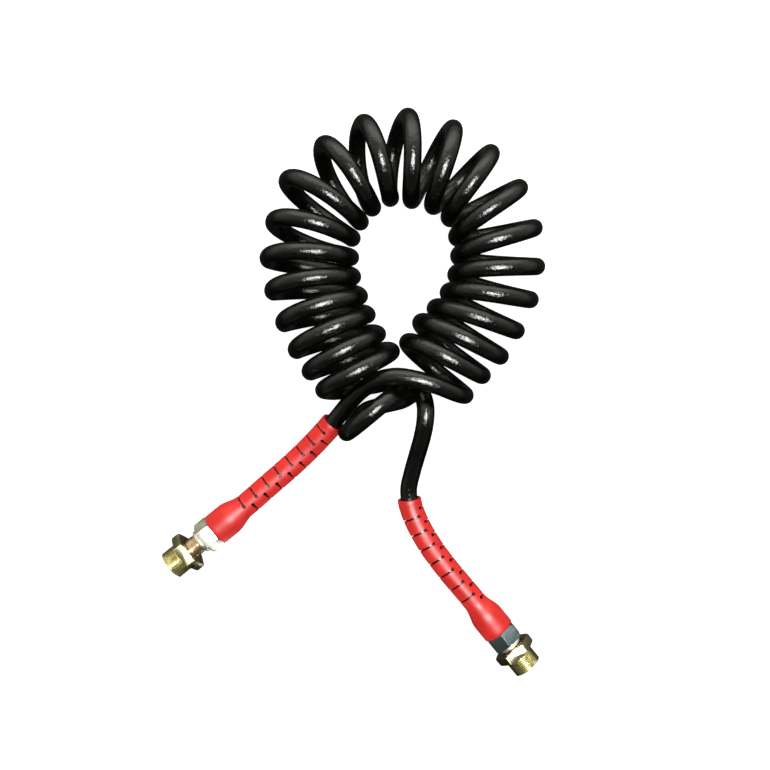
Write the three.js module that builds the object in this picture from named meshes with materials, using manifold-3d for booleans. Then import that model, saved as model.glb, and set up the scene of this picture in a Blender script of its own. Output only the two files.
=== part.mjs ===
// Coiled air hose with a swivel male fitting and a slotted bend sleeve at each end, lying on a flat surface.
// Millimetres, +Z up, the surface at z = 0, the origin under the middle of the whole part.
import * as THREE from 'three';
import { mergeVertices } from 'three/addons/utils/BufferGeometryUtils.js';
import Module from 'manifold-3d';

// Hose
const HOSE_OD = 12.7;
const HOSE_BORE = 8.5;
const HOSE_SIDES = 10;
const COIL_OD = 70;

// Bend sleeve, lengths from the end face that meets the hex body
const SLEEVE_LENGTH = 121;
const SLEEVE_FLARE = 16;
const SLEEVE_HEAD_WALL = 2.35;
const SLEEVE_WALL = 1.7;
const SLEEVE_PLAY = 0.85; // between the thin end's bore and the hose
const FLARE_OVERLAP = 6; // how far the flare reaches back over the crimp
const SLOT_PITCH = 11.85;
const SLOT_WIDTH = 1.1;
const SLOT_DEPTH = 0.94; // share of the sleeve's outer radius that each slot cuts in from the side
const SLOT_MARGIN = 6; // left whole at the thin end
const SLOT_ROWS = [ // the two sides' slots, staggered; first is the first slot's place from the flare's end
  { hand: 1, first: -0.5 },
  { hand: -1, first: 5.4 },
];

// Fitting
const THREAD_D = 22;
const THREAD_PITCH = 1.5;
const THREAD_DEPTH = 0.92;
const THREAD_LENGTH = 12.5;
const NUT_WALL = 2.1; // from the thread's crest to the nut's bore
const NUT_SHOULDER = 2.5; // from the thread's crest to the middle of a flat
const NUT_HEX_LENGTH = 7;
const RECESS_DEPTH = 0.4; // in the nut's shoulder round the thread, for a sealing washer
const BODY_AF = 22;
const BODY_LENGTH = 11;
const NECK_STEP = 1.1; // from the head down to the neck
const HEAD_LENGTH = 7;
const AIR_BORE = 8;
const SHANK_OD = 11;
const SHANK_DEPTH = 5; // how far the insert and the neck reach towards each other in the hex body
const STOP_RING_WALL = 1.5;
const STOP_RING_LENGTH = 2.7;
const NUT_TRAVEL = 8.2;
const CRIMP_LENGTH = 20;
const CRIMP_WALL = 3;
const GROOVE_EDGE = 6; // whole ferrule at each end of its crimped waist
const BARB_COUNT = 3;
const BARB_PITCH = 5.5;
const INSERT_WALL = 1.1;
const SEAL_R = 0.9; // half thickness of the cone seal

// Clearances
const GAP = 0.3; // between pieces that touch or press together
const RUN = 0.15; // radial, between pieces that turn or slide on each other
const SIDES = 20; // sides of a turned piece

// Sizes that follow from those above
const NUT_LENGTH = NUT_HEX_LENGTH + THREAD_LENGTH;
const NUT_AF = THREAD_D + 2 * NUT_SHOULDER;
const NUT_BORE_R = THREAD_D / 2 - NUT_WALL;
const HEAD_OD = 2 * (NUT_BORE_R - 2 * RUN);
const NECK_OD = HEAD_OD - 2 * NECK_STEP;
const STOP_RING_OD = NECK_OD + 2 * (GAP + STOP_RING_WALL);
const NUT_BACK = BODY_LENGTH + 2 * GAP + STOP_RING_LENGTH + GAP; // rear face of a nut pushed right back
const RING_BACK = 2; // the retaining ring's groove, from the nut's rear face
const RING_THICKNESS = 1.7;
const RING_OUTER_R = NUT_BORE_R + 0.75;
const HEAD_BACK = NUT_BACK + NUT_TRAVEL + RING_BACK + RING_THICKNESS + GAP + GAP;
const CRIMP_OD = HOSE_OD + 2 * (GAP + CRIMP_WALL);
const SLEEVE_OD = HOSE_OD + 2 * (SLEEVE_PLAY + SLEEVE_WALL);
const SLEEVE_HEAD_OD = CRIMP_OD + 2 * (GAP + SLEEVE_HEAD_WALL);
const SLEEVE_HEAD = CRIMP_LENGTH - FLARE_OVERLAP;
const AXIS_HEIGHT = NUT_AF / 2;
const COIL_HEIGHT = COIL_OD / 2;

// Middle of the coil, from its first full turn round to its last, in plan
const COIL_AXIS = [
  [-22, 17], [-38, 41], [-51, 74], [-53, 104], [-39, 136], [-8, 158],
  [28, 161], [61, 140], [78, 104], [76, 71], [64, 47], [48, 28],
];

// Each end: the fitting's end face and direction, how far out its nut sits (0 to 1), how its hex body and its
// bend sleeve are turned, and the hose's route from it to the coil.
const ENDS = {
  left: {
    face: [-127.2, -108.5],
    toward: [-0.776, -0.631],
    nutOut: 1,
    bodyRoll: 0,
    sleeveRoll: 12,
    route: [
      [-88.8, -76.4, 13.6], [-76.8, -66.1, 13.9], [-64.8, -55.3, 14.6], [-52.6, -43.3, 16.5],
      [-39.5, -29, 20.5], [-30, -17.6, 27], [-22.5, -9, 36], [-14.5, -2, 46], [-5, 3.4, 54.5],
      [8, 5.8, 60], [22, 3.7, 62.5], [37, -0.6, 60.5], [50, -5.6, 52], [58, -7.5, 35],
      [54.5, -3.4, 18], [46, 4.5, 8.4], [32, 16, 7.4], [21, 25.3, 14], [17, 29.4, 25],
      [19.2, 35.2, 33.5], [23.2, 41.8, 37], [26.1, 45.2, 37.4],
    ],
  },
  right: {
    face: [85.3, -184.2],
    toward: [0.634, -0.775],
    nutOut: 0,
    bodyRoll: 30,
    sleeveRoll: 214,
    route: [
      [47.2, -138.2, 13.3], [33.6, -119.9, 12.8], [23.6, -102, 12.2], [18.9, -89, 12.3],
      [17.7, -78, 13.9], [20.2, -65, 18.6], [22.9, -54, 25.5], [25.1, -45, 33.5], [27, -36.5, 41],
      [28.5, -27, 46.5], [29, -17, 46.5], [27.5, -8.5, 40], [24, -5.5, 30], [19.5, -7.5, 20],
      [13, -11.5, 12.5], [4, -14, 8.5], [-5.5, -16.2, 7.2], [-14, -19, 7.6], [-20.6, -25.2, 11.5],
      [-25.1, -32, 21.5], [-27.8, -34.5, 35.5], [-23.2, -31, 51], [-13, -22.5, 61], [-3, -14.2, 61.4],
      [6, -7.2, 53.5], [10.2, -1.5, 41], [9.5, 2.2, 28], [4.6, 2.6, 16.5], [-4, 0.5, 9.2],
      [-14, -1.4, 6.9], [-25, -3.2, 8], [-35.5, -4.8, 13.5],
    ],
  },
};

const wasm = await Module();
wasm.setup();

const toSolid = (geometry) => {
  const bare = (geometry.index ? geometry.toNonIndexed() : geometry.clone());
  bare.deleteAttribute('normal');
  bare.deleteAttribute('uv');
  const merged = mergeVertices(bare, 1e-3);
  return new wasm.Manifold(new wasm.Mesh({
    numProp: 3,
    vertProperties: merged.attributes.position.array,
    triVerts: new Uint32Array(merged.index.array),
  }));
};

const toGeometry = (solid) => {
  const mesh = solid.getMesh();
  const geometry = new THREE.BufferGeometry();
  geometry.setAttribute('position', new THREE.BufferAttribute(new Float32Array(mesh.vertProperties), 3));
  geometry.setIndex(new THREE.BufferAttribute(new Uint32Array(mesh.triVerts), 1));
  const flat = geometry.toNonIndexed();
  flat.computeVertexNormals();
  return flat;
};

const finish = {
  hose: new THREE.MeshStandardMaterial({ color: 0x0b0c0b, roughness: 0.22, metalness: 0 }),
  sleeve: new THREE.MeshStandardMaterial({ color: 0xe8281c, roughness: 0.45, metalness: 0 }),
  steel: new THREE.MeshStandardMaterial({ color: 0xb4b6b0, roughness: 0.3, metalness: 1 }),
  zinc: new THREE.MeshStandardMaterial({ color: 0xb5a95a, roughness: 0.35, metalness: 1 }),
  brass: new THREE.MeshStandardMaterial({ color: 0xb89b7a, roughness: 0.35, metalness: 1 }),
  rubber: new THREE.MeshStandardMaterial({ color: 0x141414, roughness: 0.8, metalness: 0 }),
};

// A turned piece about +Y from [radius, distance] points that run up the outside and back down the bore.
const turned = (profile, sides = SIDES) => {
  const points = profile.map(([r, y]) => new THREE.Vector2(r, y));
  points.push(points[0].clone());
  return new THREE.LatheGeometry(points, sides);
};

// A hexagonal piece about +Y from y = 0, its corners turned down at both ends, with a round bore.
const hexagon = (acrossFlats, length, boreR, cornerR) => {
  const outline = new THREE.Shape();
  for (let i = 0; i < 6; i++) {
    const a = (i * Math.PI) / 3;
    const r = acrossFlats / 2 / Math.cos(Math.PI / 6);
    outline[i ? 'lineTo' : 'moveTo'](r * Math.cos(a), r * Math.sin(a));
  }
  outline.closePath();
  const prism = new THREE.ExtrudeGeometry(outline, { depth: length, bevelEnabled: false, steps: 1 });
  prism.rotateX(-Math.PI / 2);
  const edge = (cornerR - acrossFlats / 2) * 0.75;
  const cone = turned([
    [boreR, 0], [acrossFlats / 2, 0], [cornerR, edge], [cornerR, length - edge],
    [acrossFlats / 2, length], [boreR, length],
  ]);
  return toSolid(prism).intersect(toSolid(cone));
};

// The hose's route from a fitting: straight through the crimp, then along the chosen points.
const routeOf = (end) => {
  const direction = new THREE.Vector3(end.toward[0], end.toward[1], 0).normalize();
  const face = new THREE.Vector3(end.face[0], end.face[1], AXIS_HEIGHT);
  const straight = [1.3, 12, 24, 33].map((s) => face.clone().addScaledVector(direction, -s));
  return { direction, face, points: [...straight, ...end.route.map((p) => new THREE.Vector3(...p))] };
};

// Lay a piece made straight along -Y onto a curve: y becomes distance along it.
const bendAlong = (geometry, curve) => {
  const length = curve.getLength();
  const position = geometry.attributes.position;
  const up = new THREE.Vector3(0, 0, 1);
  for (let i = 0; i < position.count; i++) {
    const u = THREE.MathUtils.clamp(-position.getY(i) / length, 0, 1);
    const along = curve.getTangentAt(u).negate();
    const side = along.clone().cross(up).normalize();
    const over = side.clone().cross(along);
    const at = curve.getPointAt(u).addScaledVector(side, position.getX(i)).addScaledVector(over, position.getZ(i));
    position.setXYZ(i, at.x, at.y, at.z);
  }
  geometry.computeVertexNormals();
  return geometry;
};

const root = new THREE.Group();
root.name = 'coiled_air_hose';
const assembly = new THREE.Group();
root.add(assembly);

const add = (parent, name, geometry, material) => {
  const mesh = new THREE.Mesh(geometry, material);
  mesh.name = name;
  parent.add(mesh);
  return mesh;
};

// Coil: one thick-walled tube of the coil's outer diameter, its wall one hose thick
const coilCurve = new THREE.CatmullRomCurve3(COIL_AXIS.map(([x, y]) => new THREE.Vector3(x, y, COIL_HEIGHT)));
const ringSection = (outerR, innerR, sides) => {
  const section = new THREE.Shape();
  const hole = new THREE.Path();
  for (let i = 0; i < sides; i++) {
    const a = (i * 2 * Math.PI) / sides;
    section[i ? 'lineTo' : 'moveTo'](outerR * Math.cos(a), outerR * Math.sin(a));
    hole[i ? 'lineTo' : 'moveTo'](innerR * Math.cos(a), innerR * Math.sin(a));
  }
  section.closePath();
  hole.closePath();
  section.holes.push(hole);
  return section;
};
const pipeAlong = (curve, outerR, innerR, sides, steps) =>
  new THREE.ExtrudeGeometry(ringSection(outerR, innerR, sides), {
    steps, extrudePath: curve, bevelEnabled: false, curveSegments: 1,
  });
add(assembly, 'hose_coil', pipeAlong(coilCurve, COIL_OD / 2, COIL_OD / 2 - HOSE_OD, 14, 26), finish.hose);

for (const [side, end] of Object.entries(ENDS)) {
  const { direction, face, points } = routeOf(end);

  // Hose from the fitting to the coil
  const hoseCurve = new THREE.CatmullRomCurve3(points);
  add(assembly, 'hose_tail_' + side, pipeAlong(hoseCurve, HOSE_OD / 2, HOSE_BORE / 2, HOSE_SIDES, 38), finish.hose);

  // Slotted bend sleeve, made straight, cut, then laid along the hose
  const headBore = CRIMP_OD / 2 + GAP;
  const thinBore = SLEEVE_OD / 2 - SLEEVE_WALL;
  const flareEnd = SLEEVE_HEAD + SLEEVE_FLARE;
  const stations = [];
  for (let y = flareEnd + 12; y < SLEEVE_LENGTH - 6; y += 14) stations.push(y);
  const sleeveProfile = [
    [SLEEVE_OD / 2 - 0.5, -SLEEVE_LENGTH], [SLEEVE_OD / 2, -SLEEVE_LENGTH + 1.2],
    ...stations.toReversed().map((y) => [SLEEVE_OD / 2, -y]),
    [SLEEVE_OD / 2, -flareEnd], [(SLEEVE_OD + SLEEVE_HEAD_OD) / 4, -SLEEVE_HEAD - SLEEVE_FLARE / 2],
    [SLEEVE_HEAD_OD / 2, -SLEEVE_HEAD], [SLEEVE_HEAD_OD / 2, -GAP - 1.5], [SLEEVE_HEAD_OD / 2 - 1.2, -GAP],
    [headBore, -GAP], [headBore, -CRIMP_LENGTH - GAP], [thinBore, -flareEnd + 0.5],
    ...stations.map((y) => [thinBore, -y]), [thinBore, -SLEEVE_LENGTH],
  ];
  let sleeve = toSolid(turned(sleeveProfile, 16));
  const cutter = new THREE.BoxGeometry(SLEEVE_OD, SLOT_WIDTH, SLEEVE_OD + 4);
  for (const { hand, first } of SLOT_ROWS) {
    for (let y = flareEnd + first; y <= SLEEVE_LENGTH - SLOT_MARGIN; y += SLOT_PITCH) {
      const box = cutter.clone().translate(hand * (SLEEVE_OD / 2) * (2 - SLOT_DEPTH), -y, 0);
      sleeve = sleeve.subtract(toSolid(box));
    }
  }
  const sleeveCurve = new THREE.CatmullRomCurve3([face.clone(), ...points.slice(1)]);
  const straightSleeve = toGeometry(sleeve).rotateY(-THREE.MathUtils.degToRad(end.sleeveRoll));
  add(assembly, 'bend_sleeve_' + side, bendAlong(straightSleeve, sleeveCurve), finish.sleeve);

  // Fitting, about +Y from the sleeve's end face outwards, one flat of each hexagon on top
  const fitting = new THREE.Group();
  fitting.position.copy(face);
  fitting.quaternion.setFromUnitVectors(new THREE.Vector3(0, 1, 0), direction);
  assembly.add(fitting);

  const crimpR = CRIMP_OD / 2;
  const crimpBore = HOSE_OD / 2 + GAP;
  add(fitting, 'crimp_ferrule_' + side, turned([
    [crimpR - 1, -CRIMP_LENGTH], [crimpR, -CRIMP_LENGTH + 1], [crimpR, -CRIMP_LENGTH + GROOVE_EDGE],
    [crimpR - 0.8, -CRIMP_LENGTH + GROOVE_EDGE + 1], [crimpR - 0.8, -GROOVE_EDGE - 1], [crimpR, -GROOVE_EDGE],
    [crimpR, -GAP], [crimpBore, -GAP], [crimpBore, -CRIMP_LENGTH],
  ], 20), finish.steel);

  const barbR = HOSE_BORE / 2 - 0.45;
  const insert = [[barbR - 0.7, -CRIMP_LENGTH + 2]];
  for (let i = 0; i < BARB_COUNT; i++) {
    const y = -CRIMP_LENGTH + 2.5 + i * BARB_PITCH;
    insert.push([barbR, y + 1.5], [barbR, y + 2.2], [barbR - 0.5, y + 4]);
  }
  insert.push([barbR - 0.5, -GAP], [SHANK_OD / 2, -GAP], [SHANK_OD / 2, SHANK_DEPTH],
    [barbR - INSERT_WALL, SHANK_DEPTH], [barbR - INSERT_WALL, -CRIMP_LENGTH + 2]);
  add(fitting, 'hose_insert_' + side, turned(insert, 16), finish.brass);

  const body = hexagon(BODY_AF, BODY_LENGTH, SHANK_OD / 2 + GAP, BODY_AF / 2 / Math.cos(Math.PI / 6) - 0.7);
  add(fitting, 'hex_body_' + side, toGeometry(body), finish.steel).rotation.y = THREE.MathUtils.degToRad(end.bodyRoll);

  const neckR = NECK_OD / 2;
  const stopBack = BODY_LENGTH + GAP;
  add(fitting, 'stop_ring_' + side, turned([
    [STOP_RING_OD / 2 - 0.5, stopBack], [STOP_RING_OD / 2, stopBack + 0.5],
    [STOP_RING_OD / 2, stopBack + STOP_RING_LENGTH - 0.5], [STOP_RING_OD / 2 - 0.5, stopBack + STOP_RING_LENGTH],
    [neckR + GAP, stopBack + STOP_RING_LENGTH], [neckR + GAP, stopBack],
  ]), finish.steel);

  const headR = HEAD_OD / 2;
  const sealR = SEAL_R;
  const sealAt = HEAD_BACK + HEAD_LENGTH - 2.6;
  const seatR = headR - 2 * sealR - 0.2;
  add(fitting, 'neck_tube_' + side, turned([
    [SHANK_OD / 2, SHANK_DEPTH + GAP], [SHANK_OD / 2, stopBack], [neckR, stopBack], [neckR, HEAD_BACK],
    [headR - 0.3, HEAD_BACK], [headR, HEAD_BACK + 0.3], [headR, sealAt - sealR - 0.5],
    [seatR, sealAt - sealR - 0.5], [seatR, sealAt + sealR + 0.2], [headR - 0.9, sealAt + sealR + 0.2],
    [headR - 1.8, HEAD_BACK + HEAD_LENGTH], [AIR_BORE / 2, HEAD_BACK + HEAD_LENGTH],
    [AIR_BORE / 2, SHANK_DEPTH + GAP],
  ]), finish.brass);

  const roundRing = (middleR, middleY, halfT, halfY, corners) => {
    const loop = [];
    for (let i = 0; i < corners; i++) {
      const a = -Math.PI / 2 + (i * 2 * Math.PI) / corners;
      loop.push([middleR + halfT * Math.cos(a), middleY + halfY * Math.sin(a)]);
    }
    return loop;
  };
  add(fitting, 'cone_seal_' + side,
    turned(roundRing(seatR + 0.15 + sealR, sealAt - 0.15, sealR, sealR, 6), 20), finish.rubber);

  // Retaining ring and union nut: they slide together along the neck, and the nut turns
  const carriage = new THREE.Group();
  carriage.position.y = NUT_BACK + end.nutOut * NUT_TRAVEL;
  fitting.add(carriage);
  const ringInner = neckR + RUN;
  const ringOuter = RING_OUTER_R - RUN - 0.05;
  add(carriage, 'retaining_ring_' + side, turned(roundRing((ringInner + ringOuter) / 2,
    RING_BACK + RING_THICKNESS / 2, (ringOuter - ringInner) / 2, RING_THICKNESS / 2 - RUN, 6)), finish.steel);

  const rootR = THREAD_D / 2 - THREAD_DEPTH;
  const crestR = THREAD_D / 2;
  const thread = [];
  const turns = Math.floor((THREAD_LENGTH - 2.4) / THREAD_PITCH);
  for (let i = 0; i < turns; i++) {
    const y = NUT_HEX_LENGTH + 1.4 + i * THREAD_PITCH;
    thread.push([crestR, y + 0.56], [crestR, y + 0.75], [rootR, y + 1.31], [rootR, y + THREAD_PITCH]);
  }
  const grooveR = RING_OUTER_R;
  const barrel = turned([
    [NUT_BORE_R, 0], [crestR, 0], [crestR, NUT_HEX_LENGTH - 1.4], [rootR, NUT_HEX_LENGTH - 0.5],
    [rootR, NUT_HEX_LENGTH + 1.4], ...thread, [rootR, NUT_LENGTH - 0.4], [rootR - 0.4, NUT_LENGTH],
    [NUT_BORE_R, NUT_LENGTH], [NUT_BORE_R, RING_BACK + RING_THICKNESS], [grooveR, RING_BACK + RING_THICKNESS],
    [grooveR, RING_BACK], [NUT_BORE_R, RING_BACK],
  ]);
  const nutHex = hexagon(NUT_AF, NUT_HEX_LENGTH, crestR - 1.5, NUT_AF / 2 / Math.cos(Math.PI / 6) - 0.6);
  const recess = turned([
    [rootR - 0.5, NUT_HEX_LENGTH - RECESS_DEPTH], [crestR + 0.4, NUT_HEX_LENGTH - RECESS_DEPTH],
    [crestR + 0.4, NUT_HEX_LENGTH + 0.5], [rootR - 0.5, NUT_HEX_LENGTH + 0.5],
  ]);
  const nut = nutHex.subtract(toSolid(recess)).add(toSolid(barrel));
  add(carriage, 'union_nut_' + side, toGeometry(nut), finish.zinc);
}

// The origin goes under the middle of everything.
root.updateMatrixWorld(true);
const bounds = new THREE.Box3().setFromObject(assembly, true);
assembly.position.set(-(bounds.min.x + bounds.max.x) / 2, -(bounds.min.y + bounds.max.y) / 2, -bounds.min.z);

export default root;
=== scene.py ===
import math

import bpy
import numpy as np
from mathutils import Matrix, Vector


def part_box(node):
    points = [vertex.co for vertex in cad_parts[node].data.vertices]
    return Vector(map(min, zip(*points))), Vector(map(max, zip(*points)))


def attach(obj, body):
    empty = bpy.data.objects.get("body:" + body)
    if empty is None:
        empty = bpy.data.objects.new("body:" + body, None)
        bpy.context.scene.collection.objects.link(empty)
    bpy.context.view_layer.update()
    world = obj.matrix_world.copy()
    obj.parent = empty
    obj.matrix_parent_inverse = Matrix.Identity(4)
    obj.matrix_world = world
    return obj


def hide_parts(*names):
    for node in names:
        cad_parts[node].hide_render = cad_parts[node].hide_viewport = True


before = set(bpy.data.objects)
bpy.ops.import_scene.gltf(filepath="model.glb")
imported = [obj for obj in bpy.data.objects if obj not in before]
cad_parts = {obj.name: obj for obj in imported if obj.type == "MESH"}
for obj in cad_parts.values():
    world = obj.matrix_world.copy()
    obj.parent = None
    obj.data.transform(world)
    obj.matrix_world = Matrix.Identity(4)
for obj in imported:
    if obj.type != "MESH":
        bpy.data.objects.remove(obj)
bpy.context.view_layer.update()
bpy.ops.object.select_all(action="DESELECT")
mm = 0.001

# the two ends, in millimetres and degrees: where the hexagon meets the sleeve, which way the end points,
# how far the nut is pushed out (1 is all the way), and how the hexagon and the sleeve are turned
ends = {
    "left": dict(
        face=(-127.2, -108.5), toward=(-0.776, -0.631), nutOut=1.0, bodyRoll=0.0, sleeveRoll=12.0,
    ),
    "right": dict(
        face=(85.3, -184.2), toward=(0.634, -0.775), nutOut=0.0, bodyRoll=30.0, sleeveRoll=214.0,
    ),
}
axisHeight = 13.5
hexLength = 11.0

# the drawing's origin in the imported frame, from the left hexagon, whose box is centred on its axis
low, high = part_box("hex_body_left")
toward = Vector(ends["left"]["toward"]).normalized()
drawn = (Vector(ends["left"]["face"]) + toward * hexLength / 2) * mm
origin = Vector((*(((low + high) / 2).xy - drawn), 0))

# camera, straight above the drawing's origin
camera = dict(height=700, focal=42.87, nearest=10)
bpy.ops.object.camera_add(location=origin + Vector((0, 0, camera["height"] * mm)), rotation=(0, 0, 0))
viewer = bpy.context.object
viewer.data.lens = camera["focal"]
viewer.data.clip_start = camera["nearest"] * mm
bpy.context.scene.camera = viewer
print("camera ready")


# materials
def linear(hexColor):
    # sRGB hex to the linear colour that shaders take
    parts = [int(hexColor[i:i + 2], 16) / 255 for i in (1, 3, 5)]
    return tuple(c / 12.92 if c <= 0.04045 else ((c + 0.055) / 1.055) ** 2.4 for c in parts) + (1.0,)


def addNode(material, kind, settings=None, inputs=None, stops=()):
    # adds one node: an input given as (node, output) is linked and anything else is its value;
    # stops are a colour ramp's
    tree = material.node_tree
    node = tree.nodes.new(kind)
    for name, value in (settings or {}).items():
        setattr(node, name, value)
    for name, value in (inputs or {}).items():
        if isinstance(value, tuple) and len(value) == 2 and isinstance(value[0], bpy.types.Node):
            tree.links.new(value[0].outputs[value[1]], node.inputs[name])
        else:
            node.inputs[name].default_value = value
    for count, (at, color) in enumerate(stops):
        element = node.color_ramp.elements[count] if count < 2 else node.color_ramp.elements.new(at)
        element.position = at
        element.color = color
    return node


def newMaterial(name):
    material = bpy.data.materials.new(name)
    material.use_nodes = True
    material.node_tree.nodes.clear()
    return material


def grey(value):
    return (value, value, value, 1.0)


def finishShader(material, settings):
    shader = addNode(material, "ShaderNodeBsdfPrincipled", inputs=settings)
    addNode(material, "ShaderNodeOutputMaterial", inputs={"Surface": (shader, "BSDF")})
    return material


# extruded polyurethane: near-black and glossy, its skin very slightly uneven so that highlights break up
hoseSkin = dict(
    color="#030302", haze="#0A0A08", unevenness=9.0, rough=(0.05, 0.14),
    linesAround=26.0, linesAlong=60.0, lineShare=0.35, ripple=2.6, rippleHeight=0.6, strength=0.7,
)


def hosePolyurethane():
    m = newMaterial("polyurethane_extruded")
    place = addNode(m, "ShaderNodeTexCoord")
    haze = addNode(m, "ShaderNodeTexNoise", inputs={
        "Vector": (place, "Object"),
        "Scale": 1 / (hoseSkin["unevenness"] * mm),
        "Detail": 3.0,
    })
    color = addNode(m, "ShaderNodeValToRGB", inputs={"Fac": (haze, "Fac")}, stops=[
        (0.35, linear(hoseSkin["color"])),
        (0.75, linear(hoseSkin["haze"])),
    ])
    rough = addNode(m, "ShaderNodeValToRGB", inputs={"Fac": (haze, "Fac")}, stops=[
        (0.3, grey(hoseSkin["rough"][0])),
        (0.7, grey(hoseSkin["rough"][1])),
    ])
    # drawn lines run along the hose: the map's second coordinate is metres along it
    stretch = addNode(m, "ShaderNodeMapping", inputs={
        "Vector": (place, "UV"),
        "Scale": (hoseSkin["linesAround"], hoseSkin["linesAlong"], 1.0),
    })
    lines = addNode(m, "ShaderNodeTexNoise", inputs={
        "Vector": (stretch, "Vector"),
        "Scale": 1.0,
        "Detail": 2.0,
    })
    ripple = addNode(m, "ShaderNodeTexNoise", inputs={
        "Vector": (place, "Object"),
        "Scale": 1 / (hoseSkin["ripple"] * mm),
        "Detail": 4.0,
        "Roughness": 0.6,
    })
    height = addNode(m, "ShaderNodeMath", {"operation": "MULTIPLY_ADD"}, {
        0: (lines, "Fac"),
        1: hoseSkin["lineShare"],
        2: (ripple, "Fac"),
    })
    bump = addNode(m, "ShaderNodeBump", inputs={
        "Height": (height, "Value"),
        "Strength": hoseSkin["strength"],
        "Distance": hoseSkin["rippleHeight"] * mm,
    })
    return finishShader(m, {
        "Base Color": (color, "Color"),
        "Roughness": (rough, "Color"),
        "IOR": 1.5,
        "Normal": (bump, "Normal"),
    })


# moulded vinyl: saturated orange-red in soft cloudy patches, satin, with a fine moulded grain
sleeveSkin = dict(
    color="#E3190F", deep="#CB120B", patch=14, rough=(0.38, 0.5), grain=0.45, grainHeight=0.2, strength=0.12,
)


def sleeveVinyl():
    m = newMaterial("vinyl_moulded")
    place = addNode(m, "ShaderNodeTexCoord")
    clouds = addNode(m, "ShaderNodeTexNoise", inputs={
        "Vector": (place, "Object"),
        "Scale": 1 / (sleeveSkin["patch"] * mm),
        "Detail": 3.0,
    })
    color = addNode(m, "ShaderNodeValToRGB", inputs={"Fac": (clouds, "Fac")}, stops=[
        (0.3, linear(sleeveSkin["deep"])),
        (0.7, linear(sleeveSkin["color"])),
    ])
    rough = addNode(m, "ShaderNodeValToRGB", inputs={"Fac": (clouds, "Fac")}, stops=[
        (0.3, grey(sleeveSkin["rough"][0])),
        (0.7, grey(sleeveSkin["rough"][1])),
    ])
    grain = addNode(m, "ShaderNodeTexNoise", inputs={
        "Vector": (place, "Object"),
        "Scale": 1 / (sleeveSkin["grain"] * mm),
        "Detail": 2.0,
    })
    bump = addNode(m, "ShaderNodeBump", inputs={
        "Height": (grain, "Fac"),
        "Strength": sleeveSkin["strength"],
        "Distance": sleeveSkin["grainHeight"] * mm,
    })
    return finishShader(m, {
        "Base Color": (color, "Color"),
        "Roughness": (rough, "Color"),
        "IOR": 1.5,
        "Normal": (bump, "Normal"),
    })


# plated or turned metal: patches from a dull to a bright colour, the bright ones glossier, over a fine grain
metalGrain = dict(size=0.5, height=0.2, strength=0.08)
metals = {
    "zinc_yellow_plated": dict(low="#A39A66", high="#F0EABF", rough=(0.2, 0.36), patch=4.0),
    "zinc_bright_plated": dict(low="#D2D0C2", high="#F4F3E9", rough=(0.24, 0.4), patch=9.0),
    "zinc_dark_plated": dict(low="#5A686E", high="#8B989C", rough=(0.26, 0.42), patch=6.0),
    "brass_turned": dict(low="#A98B6B", high="#E0C7A8", rough=(0.2, 0.34), patch=4.0),
    "steel_crimped": dict(low="#8D8F8C", high="#C4C5C0", rough=(0.28, 0.45), patch=7.0),
}


def metalFinish(name):
    look = metals[name]
    m = newMaterial(name)
    place = addNode(m, "ShaderNodeTexCoord")
    patches = addNode(m, "ShaderNodeTexNoise", inputs={
        "Vector": (place, "Object"),
        "Scale": 1 / (look["patch"] * mm),
        "Detail": 4.0,
    })
    color = addNode(m, "ShaderNodeValToRGB", inputs={"Fac": (patches, "Fac")}, stops=[
        (0.3, linear(look["low"])),
        (0.68, linear(look["high"])),
    ])
    rough = addNode(m, "ShaderNodeValToRGB", inputs={"Fac": (patches, "Fac")}, stops=[
        (0.3, grey(look["rough"][1])),
        (0.7, grey(look["rough"][0])),
    ])
    marks = addNode(m, "ShaderNodeTexNoise", inputs={
        "Vector": (place, "Object"),
        "Scale": 1 / (metalGrain["size"] * mm),
        "Detail": 3.0,
    })
    bump = addNode(m, "ShaderNodeBump", inputs={
        "Height": (marks, "Fac"),
        "Strength": metalGrain["strength"],
        "Distance": metalGrain["height"] * mm,
    })
    return finishShader(m, {
        "Base Color": (color, "Color"),
        "Roughness": (rough, "Color"),
        "Metallic": 1.0,
        "Normal": (bump, "Normal"),
    })


# moulded nitrile rubber: soft black with a bloom of grey
sealSkin = dict(color="#101010", bloom="#232322", patch=2, rough=0.55)


def sealNitrile():
    m = newMaterial("nitrile_moulded")
    place = addNode(m, "ShaderNodeTexCoord")
    bloom = addNode(m, "ShaderNodeTexNoise", inputs={
        "Vector": (place, "Object"),
        "Scale": 1 / (sealSkin["patch"] * mm),
        "Detail": 3.0,
    })
    color = addNode(m, "ShaderNodeValToRGB", inputs={"Fac": (bloom, "Fac")}, stops=[
        (0.35, linear(sealSkin["color"])),
        (0.7, linear(sealSkin["bloom"])),
    ])
    return finishShader(m, {"Base Color": (color, "Color"), "Roughness": sealSkin["rough"], "IOR": 1.5})


finishes = {name: metalFinish(name) for name in metals}
finishes["hose"] = hosePolyurethane()
finishes["sleeve"] = sleeveVinyl()
finishes["seal"] = sealNitrile()


def paint(obj, finish):
    obj.data.materials.clear()
    obj.data.materials.append(finishes[finish])
    for face in obj.data.polygons:
        face.material_index = 0


print("materials ready")

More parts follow.
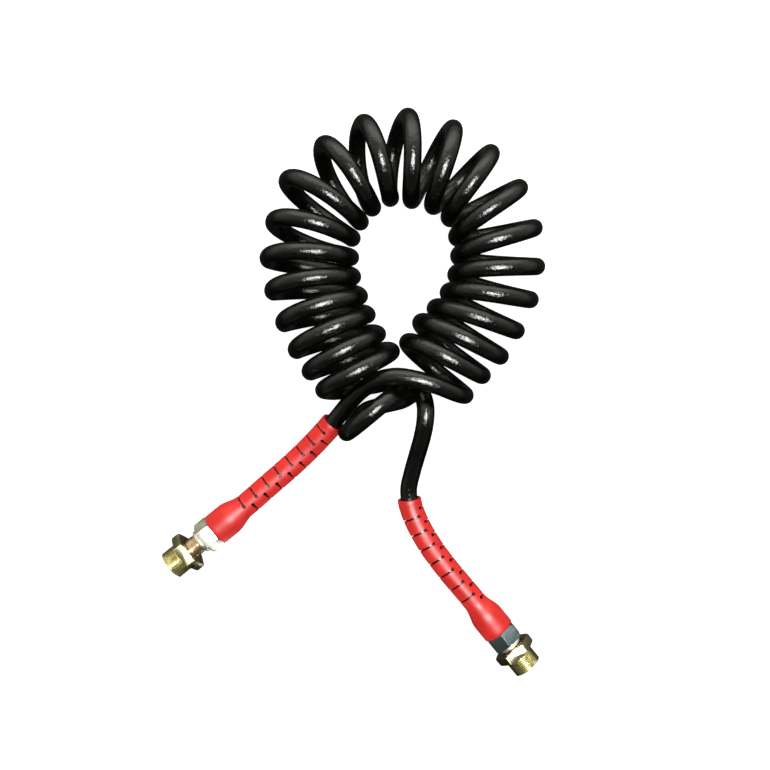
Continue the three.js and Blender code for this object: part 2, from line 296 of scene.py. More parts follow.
# the hose, in millimetres: a right-handed coil laid in a loop, with a free route from each end into it.
# Each turn is given by where the middle of the hose is at the turn's outer end and at its inner end,
# and lean says how far each turn's lower half sags along the coil. The routes run from the fittings inwards,
# and straight has the distances behind the end face where the crimped stretch has its points.
hose = dict(
    outer=12.7, bore=8.5, boreDepth=30, ringStep=2.5, sides=32, spanSteps=12,
    coilHeight=35.0, coilRadius=28.65, turnSteps=24,
    straight=(1.3, 12, 24, 33),
    outerEnds=[
        (-27.5, -33.5), (-44, -4), (-54, 9.5), (-64, 25), (-73, 44.5), (-81, 67.5), (-84.5, 91),
        (-80.5, 117), (-71, 147), (-45.5, 172.5), (-17, 188.5), (15, 193.5), (48, 185.5), (75.5, 168),
        (96.5, 143), (107.5, 114), (109.5, 86), (105, 62), (95, 39.5), (83.5, 21), (70.5, 7), (58, -7.5),
    ],
    innerEnds=[
        (10, 0), (4.5, 24.5), (-5.5, 37), (-13, 51), (-18.5, 64.5), (-23.5, 78.5), (-25, 92.5),
        (-24, 106.5), (-18, 118.5), (-9, 129), (4, 136), (19, 134.5), (34.5, 130.5), (46.5, 122),
        (52, 108), (53.5, 94), (51.5, 80.5), (46, 67.5), (36.5, 56), (26, 45.5), (16.5, 31), (9, 14),
    ],
    lean=(0, 5, 3, 5, 6, 7, 5, 1.5, 3, -1, -4, -3, 0),
    leftRoute=[
        (-88.8, -76.4, 13.6), (-76.8, -66.1, 13.9), (-64.8, -55.3, 14.6), (-52.6, -43.3, 16.5),
        (-39.5, -29, 20.5), (-30, -17.6, 27), (-22.5, -9, 36), (-14.5, -2, 46), (-5, 3.4, 54.5),
        (8, 5.8, 60), (22, 3.7, 62.5), (37, -0.6, 60.5), (50, -5.6, 52),
    ],
    rightRoute=[
        (47.2, -138.2, 13.3), (33.6, -119.9, 12.8), (23.6, -102, 12.2), (18.9, -89, 12.3),
        (17.7, -78, 13.9), (20.2, -65, 18.6), (22.9, -54, 25.5), (25.1, -45, 33.5), (27, -36.5, 41),
        (28.5, -27, 46.5), (29, -17, 46.5), (27.5, -8.5, 40), (24, -5.5, 30), (19.5, -7.5, 20),
        (13, -11.5, 12.5), (4, -14, 8.5), (-5.5, -16.2, 7.2), (-14, -19, 7.6), (-20.6, -25.2, 11.5),
        (-25.1, -32, 21.5), (-27.8, -34.5, 35.5), (-23.2, -31, 51), (-13, -22.5, 61), (-3, -14.2, 61.4),
        (6, -7.2, 53.5), (10.2, -1.5, 41), (9.5, 2.2, 28), (4.6, 2.6, 16.5), (-4, 0.5, 9.2),
        (-14, -1.4, 6.9), (-25, -3.2, 8), (-35.5, -4.8, 13.5),
    ],
)


def smoothThrough(points, perSpan):
    # centripetal Catmull-Rom through the points
    p = np.array(points, float)
    p = np.vstack([2 * p[0] - p[1], p, 2 * p[-1] - p[-2]])
    line = []
    for p0, p1, p2, p3 in zip(p, p[1:], p[2:], p[3:]):
        t0 = 0.0
        t1 = t0 + np.linalg.norm(p1 - p0) ** 0.5
        t2 = t1 + np.linalg.norm(p2 - p1) ** 0.5
        t3 = t2 + np.linalg.norm(p3 - p2) ** 0.5
        t = np.linspace(t1, t2, perSpan, endpoint=False)[:, None]
        a1 = (t1 - t) / (t1 - t0) * p0 + (t - t0) / (t1 - t0) * p1
        a2 = (t2 - t) / (t2 - t1) * p1 + (t - t1) / (t2 - t1) * p2
        a3 = (t3 - t) / (t3 - t2) * p2 + (t - t2) / (t3 - t2) * p3
        b1 = (t2 - t) / (t2 - t0) * a1 + (t - t0) / (t2 - t0) * a2
        b2 = (t3 - t) / (t3 - t1) * a2 + (t - t1) / (t3 - t1) * a3
        line.append((t2 - t) / (t2 - t1) * b1 + (t - t1) / (t2 - t1) * b2)
    return np.vstack(line + [p[-2:-1]])


def evenly(line, step):
    # the same line with its points a step apart
    run = np.concatenate([[0], np.cumsum(np.linalg.norm(np.diff(line, axis=0), axis=1))])
    at = np.linspace(0, run[-1], int(round(run[-1] / step)) + 1)
    return np.stack([np.interp(at, run, line[:, k]) for k in range(3)], 1)


def betweenTurns(turnEnds, turn):
    # where a smooth line through the turns' ends is, at a count of turns that needn't be whole
    perSpan = 40
    fine = smoothThrough([(x, y, 0) for x, y in turnEnds], perSpan)
    count = np.arange(len(fine)) / perSpan
    return np.stack([np.interp(turn, count, fine[:, 0]), np.interp(turn, count, fine[:, 1])], 1)


def coilLine():
    # from the second outer end to the last one; the ends of the coil are part of the two routes
    turns = len(hose["outerEnds"]) - 2
    turn = np.linspace(1, 1 + turns, turns * hose["turnSteps"] + 1)
    outside = betweenTurns(hose["outerEnds"], turn)
    inside = betweenTurns(hose["innerEnds"], turn - 0.5)
    swing = np.cos(2 * math.pi * turn)[:, None]
    plan = (outside + inside) / 2 + (outside - inside) / 2 * swing
    near = 0.3
    ahead = betweenTurns(hose["outerEnds"], turn + near) + betweenTurns(hose["innerEnds"], turn - 0.5 + near)
    behind = betweenTurns(hose["outerEnds"], turn - near) + betweenTurns(hose["innerEnds"], turn - 0.5 - near)
    along = (ahead - behind) / np.linalg.norm(ahead - behind, axis=1)[:, None]
    lean = np.interp(turn + 0.25, np.arange(len(hose["lean"])), hose["lean"])
    rise = np.sin(2 * math.pi * turn)
    plan = plan + along * (lean * np.maximum(0, -rise))[:, None]
    return np.column_stack([plan, hose["coilHeight"] + hose["coilRadius"] * rise])


def throughCrimp(end):
    # straight behind the fitting's face
    toward = np.array(end["toward"]) / np.linalg.norm(end["toward"])
    return [(*(np.array(end["face"]) - toward * s), axisHeight) for s in hose["straight"]]


def hoseLine():
    left = throughCrimp(ends["left"]) + hose["leftRoute"]
    right = throughCrimp(ends["right"]) + hose["rightRoute"]
    points = np.vstack([left, coilLine()[::-1], right[::-1]])
    line = evenly(smoothThrough(points, hose["spanSteps"]), hose["ringStep"])
    return line * mm + np.array(origin)


def sections(line, radius, sides):
    # rings of vertices square to the line, carried along it without twist
    ahead = np.gradient(line, axis=0)
    ahead /= np.linalg.norm(ahead, axis=1)[:, None]
    angle = np.arange(sides) * 2 * math.pi / sides
    up = np.array([0.0, 0.0, 1.0])
    rings = []
    for at, direction in zip(line, ahead):
        up = up - direction * up.dot(direction)
        up /= np.linalg.norm(up)
        side = np.cross(direction, up)
        rings.append(at + radius * (np.cos(angle)[:, None] * side + np.sin(angle)[:, None] * up))
    return rings


def buildHose():
    line = hoseLine()
    sides = hose["sides"]
    deep = int(hose["boreDepth"] / hose["ringStep"])
    outside = sections(line, hose["outer"] / 2 * mm, sides)
    inside = sections(line, hose["bore"] / 2 * mm, sides)
    # out of the left bore from its blind end, over the skin from left to right, and into the right bore
    rings = inside[deep::-1] + outside + inside[:-deep - 2:-1]
    metres = [abs(i - deep) * hose["ringStep"] * mm for i in range(len(rings))]
    faces = []
    for ring in range(len(rings) - 1):
        for k in range(sides):
            nextK = (k + 1) % sides
            here, beyond = ring * sides, (ring + 1) * sides
            faces.append((here + k, here + nextK, beyond + nextK, beyond + k))
    last = (len(rings) - 1) * sides
    faces.append(tuple(range(sides))[::-1])
    faces.append(tuple(range(last, last + sides)))
    mesh = bpy.data.meshes.new("coiledHose")
    mesh.from_pydata(np.vstack(rings).tolist(), [], faces)
    mapped = mesh.uv_layers.new(name="alongHose")
    for face in mesh.polygons:
        for corner, vertex in zip(face.loop_indices, face.vertices):
            ring, k = divmod(vertex, sides)
            wrapped = k + (sides if k == 0 and face.index % sides == sides - 1 else 0)
            mapped.data[corner].uv = (wrapped / sides, metres[ring])
    obj = bpy.data.objects.new("coiledHose", mesh)
    bpy.context.collection.objects.link(obj)
    bpy.context.view_layer.objects.active = obj
    obj.select_set(True)
    bpy.ops.object.mode_set(mode="EDIT")
    bpy.ops.mesh.select_all(action="SELECT")
    bpy.ops.mesh.normals_make_consistent(inside=False)
    bpy.ops.object.mode_set(mode="OBJECT")
    bpy.ops.object.shade_smooth_by_angle(angle=math.radians(50))
    obj.select_set(False)
    paint(obj, "hose")
    return obj, line


coiledHose, hosePath = buildHose()


# modelling helpers
def deselect():
    bpy.ops.object.select_all(action="DESELECT")


def turned(name, outline, sides=64, solid=False):
    # a turned piece about Z: rings pulled one after another along the outline of (distance, radius),
    # in millimetres; a hollow one comes back down its bore and is bridged shut
    at, radius = outline[0]
    bpy.ops.mesh.primitive_circle_add(vertices=sides, radius=radius * mm, location=(0, 0, at * mm))
    obj = bpy.context.object
    obj.name = obj.data.name = name
    bpy.ops.object.transform_apply(location=True, rotation=True, scale=True)
    bpy.ops.object.mode_set(mode="EDIT")
    bpy.ops.mesh.select_all(action="SELECT")
    if solid:
        bpy.ops.mesh.edge_face_add()
    pull = bpy.ops.mesh.extrude_region_move if solid else bpy.ops.mesh.extrude_edges_move
    for nextAt, nextRadius in outline[1:]:
        pull(TRANSFORM_OT_translate={"value": (0, 0, (nextAt - at) * mm)})
        scale = nextRadius / radius
        bpy.ops.transform.resize(value=(scale, scale, 1), center_override=(0, 0, nextAt * mm))
        at, radius = nextAt, nextRadius
    bpy.ops.mesh.select_all(action="DESELECT")
    bpy.ops.mesh.select_non_manifold()
    if solid:
        # the first cap was carried along, so the open rear ring is filled again
        bpy.ops.mesh.edge_face_add()
    else:
        bpy.ops.mesh.bridge_edge_loops()
    bpy.ops.mesh.select_all(action="SELECT")
    bpy.ops.mesh.normals_make_consistent(inside=False)
    bpy.ops.object.mode_set(mode="OBJECT")
    return obj


def useModifier(obj, kind, settings):
    bpy.context.view_layer.objects.active = obj
    modifier = obj.modifiers.new("work", kind)
    for name, value in settings.items():
        setattr(modifier, name, value)
    bpy.ops.object.modifier_apply(modifier=modifier.name)


def combine(obj, other, operation):
    useModifier(obj, "BOOLEAN", {"operation": operation, "object": other, "solver": "EXACT"})
    bpy.data.objects.remove(other)


def smoothed(obj, degrees=35):
    deselect()
    bpy.context.view_layer.objects.active = obj
    obj.select_set(True)
    bpy.ops.object.shade_smooth_by_angle(angle=math.radians(degrees))
    obj.select_set(False)
    return obj


def placed(obj, end, along=0.0, roll=0.0):
    # from about Z at the origin to about the fitting's axis, its rear that far beyond the end face
    toward = Vector(end["toward"]).normalized()
    at = Vector((*(Vector(end["face"]) + toward * along), axisHeight)) * mm + origin
    heading = math.atan2(toward.y, toward.x) - math.pi / 2
    turn = Matrix.Rotation(heading, 4, "Z") @ Matrix.Rotation(-math.pi / 2, 4, "X")
    turn = turn @ Matrix.Rotation(math.radians(roll), 4, "Z")
    deselect()
    bpy.context.view_layer.objects.active = obj
    obj.select_set(True)
    obj.matrix_world = Matrix.Translation(at) @ turn
    bpy.ops.object.transform_apply(location=True, rotation=True, scale=True)
    obj.select_set(False)
    return obj


def hexagonal(name, acrossFlats, length, corner, edge):
    # a hexagon from z = 0 with a flat to +Y, its corners turned down to a cone at both ends
    radius = acrossFlats / 2 / math.cos(math.pi / 6)
    bpy.ops.mesh.primitive_cylinder_add(
        vertices=6, radius=radius * mm, depth=length * mm,
        location=(0, 0, length / 2 * mm), rotation=(0, 0, math.pi / 6),
    )
    obj = bpy.context.object
    obj.name = obj.data.name = name
    bpy.ops.object.transform_apply(location=True, rotation=True, scale=True)
    outside = radius + 1
    coneSlope = 0.5
    drop = (outside - corner) * coneSlope
    past, narrower = 0.5, corner - 0.8
    cone = turned("cone", [
        (-past, narrower), (0, corner), (drop, outside),
        (length - drop, outside), (length, corner), (length + past, narrower),
    ], 96, solid=True)
    combine(obj, cone, "INTERSECT")
    useModifier(obj, "BEVEL", {
        "width": edge * mm,
        "segments": 2,
        "limit_method": "ANGLE",
        "angle_limit": math.radians(40),
    })
    return obj


# bend sleeves, distances from the end face inwards; a row of slots is its hand, its first slot and its count
sleeve = dict(
    start=0.3, length=121, head=14, flare=16, headOuter=24.6, outer=17.8, wall=1.7,
    crimpLength=20.3, crimpBore=19.9, headRings=(4, 7, 10), flareSteps=8, ringStep=2.36, sides=48,
    slotPitch=11.85, slotWidth=1.4, slotTip=1.6, rows=((1, 29.5, 8), (-1, 35.4, 7)),
)


def sleeveOutline():
    s = sleeve
    headR, outerR = s["headOuter"] / 2, s["outer"] / 2
    boreR, crimpR = outerR - s["wall"], s["crimpBore"] / 2
    start, stop, small, lip = s["start"], s["length"], 0.2, 0.7
    thinFrom = s["head"] + s["flare"]
    thin = np.arange(thinFrom + s["ringStep"], stop - 1.5, s["ringStep"])
    # the front edge, the head, and the flare down to the thin part
    outline = [(start, headR - lip), (start + 0.3, headR - small), (start + 0.9, headR)]
    outline += [(at, headR) for at in s["headRings"]]
    for step in range(s["flareSteps"] + 1):
        share = step / s["flareSteps"]
        blend = (1 - math.cos(math.pi * share)) / 2
        outline.append((s["head"] + s["flare"] * share - 1, headR + (outerR - headR) * blend))
    # the thin part, round its rear edge, and back along the bore
    outline += [(at, outerR) for at in thin]
    outline += [(stop - lip, outerR), (stop - small, outerR - small), (stop, outerR - 0.6)]
    outline += [(stop, boreR + 0.3), (stop - 0.4, boreR)]
    outline += [(at, boreR) for at in thin[::-1]]
    outline += [(thinFrom - 0.5, boreR), (s["crimpLength"], crimpR), (s["head"], crimpR)]
    outline += [(start + 0.3, crimpR), (start, crimpR + 0.3)]
    return outline


def slotCutter():
    # a relief hole with a slot running out of it to +Y
    s = sleeve
    bpy.ops.mesh.primitive_cylinder_add(vertices=12, radius=s["slotWidth"] * mm, depth=s["headOuter"] * mm)
    cutter = bpy.context.object
    bpy.ops.object.mode_set(mode="EDIT")
    bpy.ops.mesh.select_all(action="DESELECT")
    bpy.ops.object.mode_set(mode="OBJECT")
    for face in cutter.data.polygons:
        face.select = face.normal.y > 0.9
    bpy.ops.object.mode_set(mode="EDIT")
    bpy.ops.mesh.select_mode(type="FACE")
    bpy.ops.mesh.extrude_region_move(TRANSFORM_OT_translate={"value": (0, s["outer"] * mm, 0)})
    bpy.ops.mesh.select_mode(type="VERT")
    bpy.ops.object.mode_set(mode="OBJECT")
    return cutter


def buildSleeve(side):
    s = sleeve
    end = ends[side]
    obj = turned("bendSleeve_" + side, sleeveOutline(), s["sides"])
    # from about Z to about X, so that a slot's +Y stays the side of the sleeve
    deselect()
    obj.select_set(True)
    obj.rotation_euler = (0, math.pi / 2, 0)
    bpy.ops.object.transform_apply(location=False, rotation=True, scale=False)
    pattern = slotCutter()
    cutters = []
    for hand, first, count in s["rows"]:
        for i in range(count):
            cutter = pattern.copy()
            cutter.data = pattern.data.copy()
            bpy.context.collection.objects.link(cutter)
            hole = Vector((first + i * s["slotPitch"], hand * s["slotTip"], 0)) * mm
            facing = Matrix.Rotation(0 if hand > 0 else math.pi, 4, "Z")
            cutter.matrix_world = Matrix.Translation(hole) @ facing
            cutters.append(cutter)
    bpy.data.objects.remove(pattern)
    deselect()
    for cutter in cutters:
        cutter.select_set(True)
    bpy.context.view_layer.objects.active = cutters[0]
    bpy.ops.object.join()
    bpy.ops.object.transform_apply(location=True, rotation=True, scale=True)
    combine(obj, bpy.context.object, "DIFFERENCE")
    deselect()
    bpy.context.view_layer.objects.active = obj
    obj.select_set(True)
    obj.rotation_euler = (math.radians(end["sleeveRoll"]), 0, 0)
    bpy.ops.object.transform_apply(location=False, rotation=True, scale=False)
    layOnHose(obj, side)
    paint(obj, "sleeve")
    return smoothed(obj, 30)


def layOnHose(obj, side):
    # the hose's line from the end face inwards, as the path that the straight sleeve is bent along
    end = ends[side]
    toward = Vector((*Vector(end["toward"]).normalized(), 0))
    face = Vector((*end["face"], axisHeight)) * mm + origin
    inward = hosePath if side == "left" else hosePath[::-1]
    count = int(sleeve["length"] / hose["ringStep"]) + 6
    bpy.ops.curve.primitive_nurbs_path_add()
    path = bpy.context.object
    path.data.splines.clear()
    path.data.dimensions = "3D"
    path.data.twist_mode = "Z_UP"
    spline = path.data.splines.new("POLY")
    points = [face] + [Vector(p) for p in inward[1:count]]
    spline.points.add(len(points) - 1)
    for point, at in zip(spline.points, points):
        point.co = (*at, 1)
    useModifier(obj, "CURVE", {"object": path, "deform_axis": "POS_X"})
    bpy.data.objects.remove(path)


sleeves = {side: buildSleeve(side) for side in ends}
for softSleeve in sleeves.values():
    # kept out of the glossy hose's reflections
    softSleeve.visible_glossy = False
print("bend sleeves ready")

# fittings, distances from the end face outwards and diameters; edge is the usual broken edge
fitting = dict(
    hexFlats=22, hexCorner=11.4, hexEdge=0.25, hexBore=11.6,
    ringOuter=18.6, ringFrom=11.3, ringLength=2.7, ringPlay=0.3, ringRound=0.6,
    shank=11, shankFrom=5.3, neck=15, neckFrom=11.3, waistFrom=15.5, waistLength=1.6, waistDepth=0.35,
    head=17.2, headFrom=27.1, headLength=7, airBore=8, edge=0.3,
    sealGroove=13.2, sealAt=31.5, sealRadius=0.9, grooveBehind=1.4, grooveAhead=1.1,
)
# the nut, distances from its rear face; back is where that is when the nut is pushed in
nut = dict(
    hexFlats=27, hexLength=7, hexCorner=14.3, hexEdge=0.3, bore=17.8, bevel=0.6,
    thread=22, pitch=1.5, threadDepth=0.92, threadLength=12.5, relief=1.3, sides=72, ringsPerPitch=8,
    groove=19.3, grooveFrom=2, grooveLength=1.7, back=14.6, travel=8.2,
)
keeper = dict(inner=15.3, outer=18.9, thickness=1.4, round=0.35, gap=1.6)


def nutRear(side):
    return nut["back"] + ends[side]["nutOut"] * nut["travel"]


def buildHexBody(side):
    f = fitting
    obj = hexagonal("hexBody_" + side, f["hexFlats"], hexLength, f["hexCorner"], f["hexEdge"])
    boreR = f["hexBore"] / 2
    bore = turned("bore", [
        (-1, boreR + 0.5), (0.5, boreR), (hexLength - 0.5, boreR), (hexLength + 1, boreR + 1.5),
    ], 64, solid=True)
    combine(obj, bore, "DIFFERENCE")
    placed(obj, ends[side], 0, ends[side]["bodyRoll"])
    paint(obj, "zinc_bright_plated" if side == "left" else "zinc_dark_plated")
    return smoothed(obj, 30)


def buildStopRing(side):
    f = fitting
    outerR, innerR = f["ringOuter"] / 2, f["neck"] / 2 + f["ringPlay"]
    rear, front = f["ringFrom"], f["ringFrom"] + f["ringLength"]
    edge, soft = f["edge"], f["ringRound"]
    third = soft / 3
    obj = turned("stopRing_" + side, [
        (rear, innerR + edge), (rear, outerR - soft), (rear + third, outerR - third), (rear + soft, outerR),
        (front - soft, outerR), (front - third, outerR - third), (front, outerR - soft),
        (front, innerR + edge), (front - edge, innerR), (rear + edge, innerR),
    ])
    placed(obj, ends[side])
    paint(obj, "zinc_bright_plated")
    return smoothed(obj, 30)


def buildNeckTube(side):
    # shank into the hexagon, a waisted neck, and the flared head with its seal groove and nose
    f = fitting
    neckR, headR, boreR, shankR = f["neck"] / 2, f["head"] / 2, f["airBore"] / 2, f["shank"] / 2
    tail, step, edge, small = f["shankFrom"], f["neckFrom"], f["edge"], 0.2
    waistFrom, waistTo, waistR = f["waistFrom"], f["waistFrom"] + f["waistLength"], neckR - f["waistDepth"]
    rear, nose = f["headFrom"], f["headFrom"] + f["headLength"]
    grooveFrom, grooveTo = f["sealAt"] - f["grooveBehind"], f["sealAt"] + f["grooveAhead"]
    grooveR = f["sealGroove"] / 2
    obj = turned("neckTube_" + side, [
        # shank
        (tail, boreR + small), (tail, shankR - 0.4), (tail + 0.4, shankR), (step, shankR),
        # neck and its waist
        (step, neckR - edge), (step + edge, neckR), (waistFrom, neckR), (waistFrom + 0.4, waistR),
        (waistTo - 0.4, waistR), (waistTo, neckR), (rear - edge, neckR), (rear, neckR + small),
        # head, its groove and its tapered nose
        (rear, headR - edge), (rear + edge, headR), (grooveFrom - small, headR), (grooveFrom, headR - small),
        (grooveFrom, grooveR + small), (grooveFrom + small, grooveR), (grooveTo - small, grooveR),
        (grooveTo, grooveR + small), (grooveTo, headR - 0.9), (nose - edge, headR - 1.8), (nose, headR - 2.2),
        # bore
        (nose, boreR + 0.5), (nose - 0.5, boreR), (tail + small, boreR),
    ])
    placed(obj, ends[side])
    paint(obj, "brass_turned")
    return smoothed(obj, 30)


def buildSeal(side):
    # a round ring that stands a little proud of the head
    f = fitting
    middleR, radius = f["sealGroove"] / 2 + 1.05, f["sealRadius"]
    bpy.ops.mesh.primitive_torus_add(
        major_segments=64, minor_segments=16, major_radius=middleR * mm, minor_radius=radius * mm,
    )
    obj = bpy.context.object
    obj.name = obj.data.name = "coneSeal_" + side
    bpy.ops.object.mode_set(mode="EDIT")
    bpy.ops.mesh.select_all(action="SELECT")
    # pressed a little flat against the groove's walls
    bpy.ops.transform.resize(value=(1, 1, 0.94), center_override=(0, 0, 0))
    bpy.ops.object.mode_set(mode="OBJECT")
    placed(obj, ends[side], f["sealAt"] + (f["grooveAhead"] - f["grooveBehind"]) / 2)
    paint(obj, "seal")
    return smoothed(obj, 60)


def buildKeeper(side):
    # a split ring that holds the nut on the neck
    k = keeper
    innerR, outerR, half = k["inner"] / 2, k["outer"] / 2, k["thickness"] / 2
    soft, trim = k["round"], 0.1
    obj = turned("retainingRing_" + side, [
        (-half, innerR + soft), (-half, outerR - soft), (-half + trim, outerR - trim), (-half + soft, outerR),
        (half - soft, outerR), (half - trim, outerR - trim), (half, outerR - soft), (half, innerR + soft),
        (half - trim, innerR + trim), (half - soft, innerR), (-half + soft, innerR),
        (-half + trim, innerR + trim),
    ])
    bpy.ops.mesh.primitive_cube_add(size=1, location=(0, outerR * mm, 0))
    gap = bpy.context.object
    gap.scale = Vector((k["gap"], outerR, k["thickness"] * 4)) * mm
    bpy.ops.object.transform_apply(location=True, rotation=True, scale=True)
    combine(obj, gap, "DIFFERENCE")
    placed(obj, ends[side], nutRear(side) + nut["grooveFrom"] + nut["grooveLength"] / 2)
    paint(obj, "steel_crimped")
    return smoothed(obj, 30)


def cutThread(obj, start, stop):
    # presses a helical vee into the barrel, with a narrow flat root, running out at both ends
    n = nut
    crest = n["thread"] / 2
    runIn, runOut = 0.7, 0.9
    deepest, flankSlope = 1.18, 2.7
    for vertex in obj.data.vertices:
        x, y, z = vertex.co / mm
        reach = math.hypot(x, y)
        if start < z < stop and reach > crest - 0.01:
            phase = (z / n["pitch"] - math.atan2(y, x) / (2 * math.pi)) % 1
            vee = min(1, max(0, deepest - abs(phase - 0.5) * flankSlope))
            full = max(0, min(1, (z - start) / runIn, (stop - z) / runOut))
            scale = (crest - n["threadDepth"] * vee * full) / reach
            vertex.co = Vector((x * scale, y * scale, z)) * mm


def buildNut(side):
    n = nut
    length = n["hexLength"] + n["threadLength"]
    crest, root = n["thread"] / 2, n["thread"] / 2 - n["threadDepth"]
    bevel = n["bevel"]
    threadFrom, threadTo = n["hexLength"] + n["relief"], length - bevel
    # the barrel: a relief behind the thread, rings for the thread, and a bevelled front
    barrel = [(n["hexLength"] - 2, root), (threadFrom - 0.4, root), (threadFrom - 0.1, crest)]
    barrel += [(at, crest) for at in np.arange(threadFrom, threadTo, n["pitch"] / n["ringsPerPitch"])]
    barrel += [(threadTo, crest), (length - 0.1, root - 0.1), (length, root - 0.3)]
    obj = turned("unionNut_" + side, barrel, n["sides"], solid=True)
    cutThread(obj, threadFrom, threadTo)
    head = hexagonal("nutHead", n["hexFlats"], n["hexLength"], n["hexCorner"], n["hexEdge"])
    combine(obj, head, "UNION")
    boreR, grooveR = n["bore"] / 2, n["groove"] / 2
    grooveFrom, grooveTo = n["grooveFrom"], n["grooveFrom"] + n["grooveLength"]
    bore = turned("bore", [
        (-1, boreR + 1.6), (bevel, boreR), (grooveFrom, boreR), (grooveFrom, grooveR), (grooveTo, grooveR),
        (grooveTo, boreR), (length - bevel, boreR), (length + 1, boreR + 1.2),
    ], 96, solid=True)
    combine(obj, bore, "DIFFERENCE")
    placed(obj, ends[side], nutRear(side))
    paint(obj, "zinc_yellow_plated")
    return smoothed(obj, 30)


fixedPieces = {"left": [], "right": []}
for side in ends:
    for name, slotName, build in (
        ("hex_body_", "hex_steel" if side == "left" else "hex_steel_dark", buildHexBody),
        ("stop_ring_", "hex_steel", buildStopRing),
        ("neck_tube_", "brass", buildNeckTube),
        ("cone_seal_", "seal_rubber", buildSeal),
    ):
        piece = build(side)
        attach(piece, "hose")
        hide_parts(name + side)
        fixedPieces[side].append(piece)
    ring = buildKeeper(side)
    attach(ring, "ring_" + side)
    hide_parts("retaining_ring_" + side)
    unionNut = buildNut(side)
    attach(unionNut, "nut_" + side)
    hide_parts("union_nut_" + side)
    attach(sleeves[side], "hose")
    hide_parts("bend_sleeve_" + side)
    for node, finish in (("crimp_ferrule_", "steel_crimped"), ("hose_insert_", "brass_turned")):
        paint(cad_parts[node + side], finish)
print("fittings ready")

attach(coiledHose, "hose")
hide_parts("hose_coil", "hose_tail_left", "hose_tail_right")

# floor and light, in metres and watts. The floor glows by wash, so that the hose casts hardly any shadow.
# Reflections see a sky that brightens to the north; ambient lights the surfaces; backdrop is behind it all
studio = dict(
    floorSize=8.0, floor="#BCBCBC", wash=0.88,
    sky="#F4F3EC", north=1.3, south=0.12, below=0.05, ambient=0.28, backdrop=1.0,
    southToNorth=(-0.6, 0.8), groundToHorizon=(-0.35, 0.05),
)
# lights says whether a lamp lights dull surfaces, and seen whether it shows in glossy ones
lamps = {
    "fill": dict(place=(0.05, 0.1, 1.2), size=(0.9, 0.9), watts=13, color="#FFFFFF", seen=False),
    "overhead": dict(place=(0.12, -0.06, 0.9), size=(0.42, 0.36), watts=17, color="#FFFFFF", lights=False),
    "overLeft": dict(
        place=(-0.25, -0.24, 0.95), size=(0.2, 0.2), watts=0.45, color="#FFFDF4",
        target=(-0.12, -0.11, 0.02), lights=False,
    ),
    "overRight": dict(
        place=(0.24, -0.42, 0.95), size=(0.2, 0.2), watts=0.4, color="#FFFDF4",
        target=(0.12, -0.18, 0.02), lights=False,
    ),
    "northPanel": dict(place=(0, 1.15, 0.75), size=(2.0, 0.9), watts=9, color="#F3F0DF"),
}
# pale cards that lie on the floor on both sides of the left fitting, in millimetres from its face
cards = [
    dict(side="left", along=14, across=-42, size=(20, 34), brightness=2.2, color="#FFFFFF"),
    dict(side="left", along=14, across=42, size=(20, 34), brightness=0.75, color="#D3D1B4"),
]
bpy.ops.mesh.primitive_plane_add(size=studio["floorSize"], location=origin)
floor = bpy.context.object
floor.name = "studioFloor"
bpy.ops.object.transform_apply(location=True, rotation=True, scale=True)
sweep = newMaterial("paper_pale")
finishShader(sweep, {"Base Color": linear(studio["floor"]), "Roughness": 0.9, "Emission Color": grey(1),
                     "Emission Strength": studio["wash"]})
floor.data.materials.append(sweep)
floor.visible_glossy = False


def softLight(name, place, size, watts, color, target=(0, 0, 0.03), seen=True, lights=True):
    bpy.ops.object.light_add(type="AREA", location=origin + Vector(place))
    light = bpy.context.object
    light.name = name
    light.data.shape = "RECTANGLE"
    light.data.size, light.data.size_y = size
    light.data.energy = watts
    light.data.color = linear(color)[:3]
    aim = origin + Vector(target) - light.location
    light.rotation_mode = "QUATERNION"
    light.rotation_quaternion = aim.to_track_quat("-Z", "Y")
    light.visible_glossy = seen
    light.visible_diffuse = lights
    return light


for name, lamp in lamps.items():
    softLight(name, **lamp)


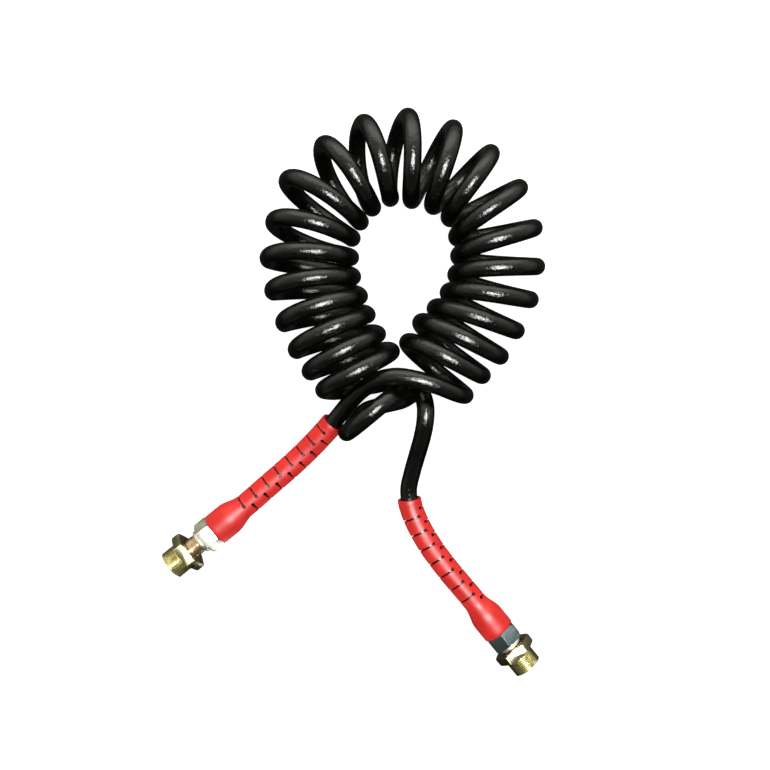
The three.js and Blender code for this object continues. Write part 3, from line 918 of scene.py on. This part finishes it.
def floorCard(side, along, across, size, brightness, color):
    # a glowing card that shows only in the fitting's reflections
    toward = Vector((*Vector(ends[side]["toward"]).normalized(), 0))
    sideways = Vector((toward.y, -toward.x, 0))
    face = Vector((*ends[side]["face"], 0)) * mm
    clearOfFloor = Vector((0, 0, 0.5 * mm))
    place = face + toward * along * mm + sideways * across * mm + clearOfFloor
    width, depth = size[0] * mm, size[1] * mm
    watts = brightness * math.pi * width * depth
    above = place + Vector((0, 0, 1))
    card = softLight("card_" + side, place, (width, depth), watts, color, above, lights=False)
    card.visible_camera = False


for card in cards:
    floorCard(**card)

world = bpy.data.worlds.new("studio")
world.use_nodes = True
world.node_tree.nodes.clear()
bpy.context.scene.world = world
look = addNode(world, "ShaderNodeTexCoord")
split = addNode(world, "ShaderNodeSeparateXYZ", inputs={"Vector": (look, "Generated")})
northward = addNode(world, "ShaderNodeMapRange", inputs={
    "Value": (split, "Y"),
    "From Min": studio["southToNorth"][0],
    "From Max": studio["southToNorth"][1],
    "To Min": studio["south"],
    "To Max": studio["north"],
})
upward = addNode(world, "ShaderNodeMapRange", inputs={
    "Value": (split, "Z"),
    "From Min": studio["groundToHorizon"][0],
    "From Max": studio["groundToHorizon"][1],
    "To Min": studio["below"],
    "To Max": 1.0,
})
glow = addNode(world, "ShaderNodeMath", {"operation": "MULTIPLY"}, {
    0: (northward, "Result"),
    1: (upward, "Result"),
})
ray = addNode(world, "ShaderNodeLightPath")
around = addNode(world, "ShaderNodeMix", {"data_type": "FLOAT"}, {
    "Factor": (ray, "Is Diffuse Ray"),
    2: (glow, "Value"),
    3: studio["ambient"],
})
strength = addNode(world, "ShaderNodeMix", {"data_type": "FLOAT"}, {
    "Factor": (ray, "Is Camera Ray"),
    2: (around, 0),
    3: studio["backdrop"],
})
sky = addNode(world, "ShaderNodeBackground", inputs={
    "Color": linear(studio["sky"]),
    "Strength": (strength, 0),
})
addNode(world, "ShaderNodeOutputWorld", inputs={"Surface": (sky, "Background")})
bpy.context.scene.view_settings.view_transform = "Standard"
print("studio ready")
